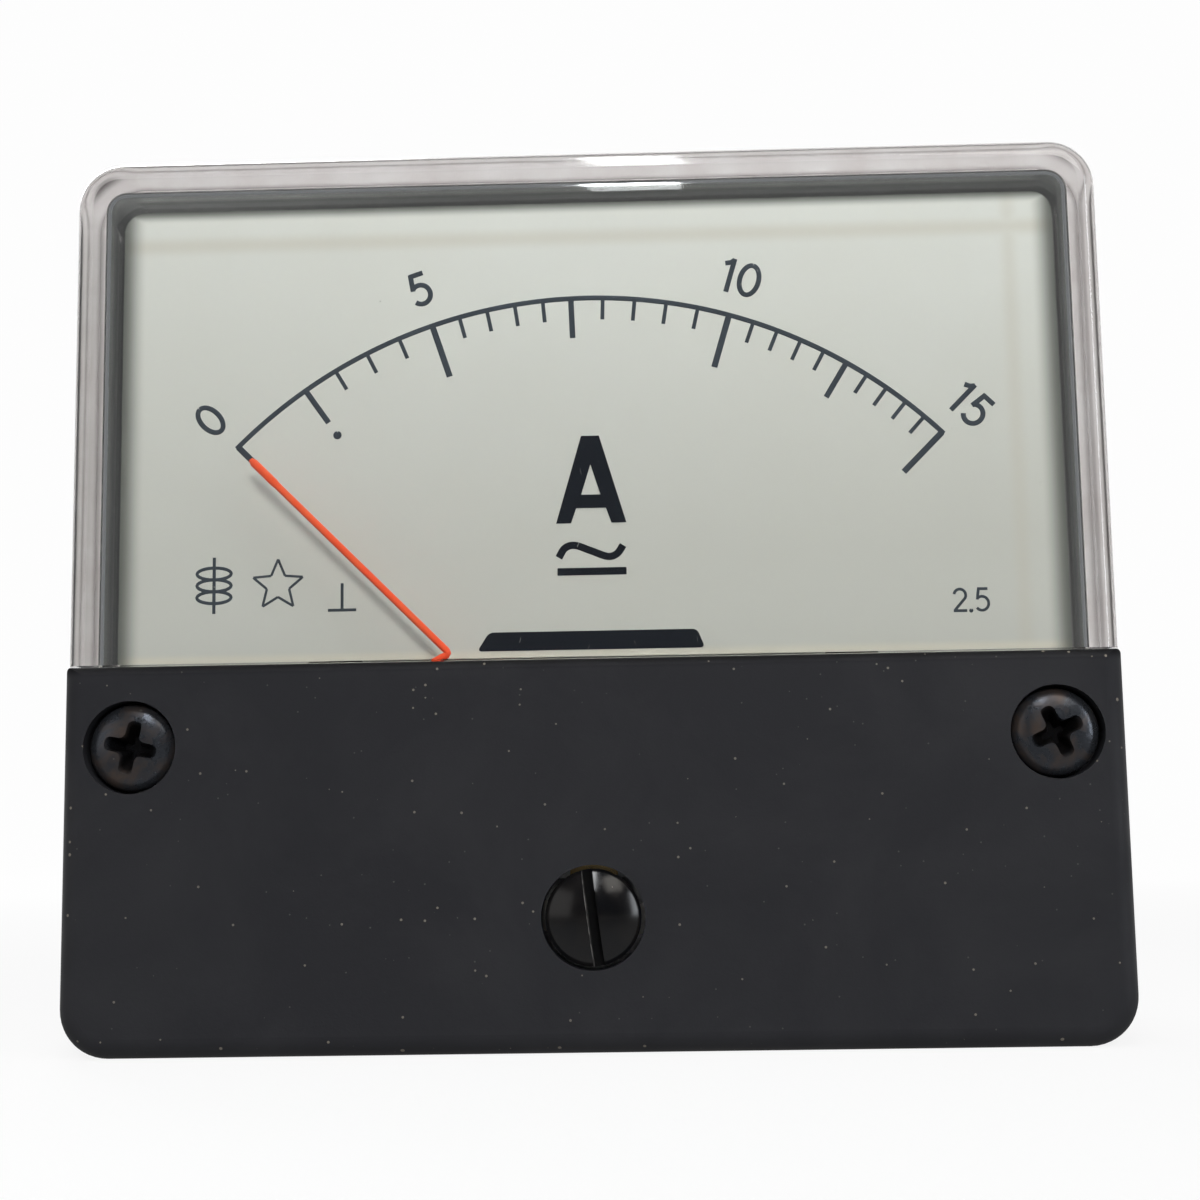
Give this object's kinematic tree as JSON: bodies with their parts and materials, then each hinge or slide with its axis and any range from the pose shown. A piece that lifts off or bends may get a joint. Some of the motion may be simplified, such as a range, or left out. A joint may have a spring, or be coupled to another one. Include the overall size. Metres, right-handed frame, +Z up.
{
  "type": "analog panel meter",
  "caption": "Rectangular moving-iron panel meter with a clear window over a dial and pointer, a black lower cover with a zero adjuster, a round barrel, mounting studs and terminals.",
  "frame": {"origin": "centre of the barrel and of the stud pattern, on the panel plane (the flange's back face)", "axes": "+X to the reader's right, +Y to the back along the barrel, +Z up; the dial faces -Y"},
  "size_m": [0.0672, 0.0531, 0.0581],
  "materials": {
    "phenolic_black": "satin",
    "clear_plastic": "gloss",
    "black_cover": "matte",
    "black_steel": "satin",
    "brass": "satin",
    "bronze_spring": "satin",
    "tinned_brass": "satin",
    "zinc_steel": "satin",
    "dial_white": "matte",
    "adjuster_black": "gloss",
    "pointer_orange": "satin",
    "aluminium": "satin",
    "soft_iron": "matte",
    "moulded_grey": "matte",
    "bobbin_cream": "matte",
    "copper": "gloss"
  },
  "bodies": {
    "case": {"base": "phenolic_black", "clear_cover": "clear_plastic", "black_cover": "black_cover", "cover_screw_left": "black_steel", "cover_screw_right": "black_steel", "cover_insert_left": "brass", "cover_insert_right": "brass", "stud_top_left": "zinc_steel", "stud_top_right": "zinc_steel", "stud_bottom_left": "zinc_steel", "stud_bottom_right": "zinc_steel", "terminal_bolt_left": "brass", "terminal_bolt_right": "brass", "solder_tag_left": "tinned_brass", "solder_tag_right": "tinned_brass", "inner_washer_left": "brass", "inner_washer_right": "brass", "lock_nut_left": "brass", "lock_nut_right": "brass", "outer_washer_left": "brass", "outer_washer_right": "brass", "spring_washer_left": "bronze_spring", "spring_washer_right": "bronze_spring", "cable_nut_left": "brass", "cable_nut_right": "brass", "dial_plate": "dial_white", "dial_screw_left": "zinc_steel", "dial_screw_right": "zinc_steel", "fixed_vane": "soft_iron", "movement_plate": "aluminium", "plate_screw_left": "zinc_steel", "plate_screw_right": "zinc_steel", "pointer_stop_left": "zinc_steel", "pointer_stop_right": "zinc_steel", "damping_chamber": "moulded_grey", "front_bridge": "brass", "front_jewel_screw": "brass", "front_jewel_nut": "brass", "rear_bridge": "brass", "rear_jewel_screw": "brass", "rear_jewel_nut": "brass", "bridge_screw_left": "zinc_steel", "bridge_screw_right": "zinc_steel", "coil_bobbin": "bobbin_cream", "coil_winding": "copper", "coil_lead_left": "copper", "coil_lead_right": "copper"},
    "pointer_system": {"pointer": "pointer_orange", "balance_cross": "brass", "balance_weights": "zinc_steel", "spindle": "zinc_steel", "hairspring_collet": "brass", "damping_vane": "aluminium", "moving_vane": "soft_iron"},
    "zero_lever": {"zero_lever": "brass", "hairspring": "bronze_spring"},
    "zero_adjuster": {"zero_adjuster": "adjuster_black", "adjuster_clip": "zinc_steel"}
  },
  "joints": [
    {"name": "pointer_deflection", "type": "hinge", "parent": "case", "child": "pointer_system", "pos_m": [0, -0.009, -0.01305], "axis": [0, 1, 0], "range_deg": [-3, 93], "stiffness_Nm_per_rad": 0.000012, "deforming": ["hairspring"]},
    {"name": "zero_adjust_turn", "type": "hinge", "parent": "case", "child": "zero_adjuster", "pos_m": [0, -0.0113, -0.0208], "axis": [0, 1, 0], "range_deg": [-40, 40]},
    {"name": "zero_lever_swing", "type": "hinge", "parent": "case", "child": "zero_lever", "pos_m": [0, -0.009, -0.01305], "axis": [0, 1, 0], "range_deg": [-5, 5]}
  ],
  "couplings": [
    {"joint": "zero_lever_swing", "follows": "zero_adjust_turn", "ratio": -0.115}
  ]
}
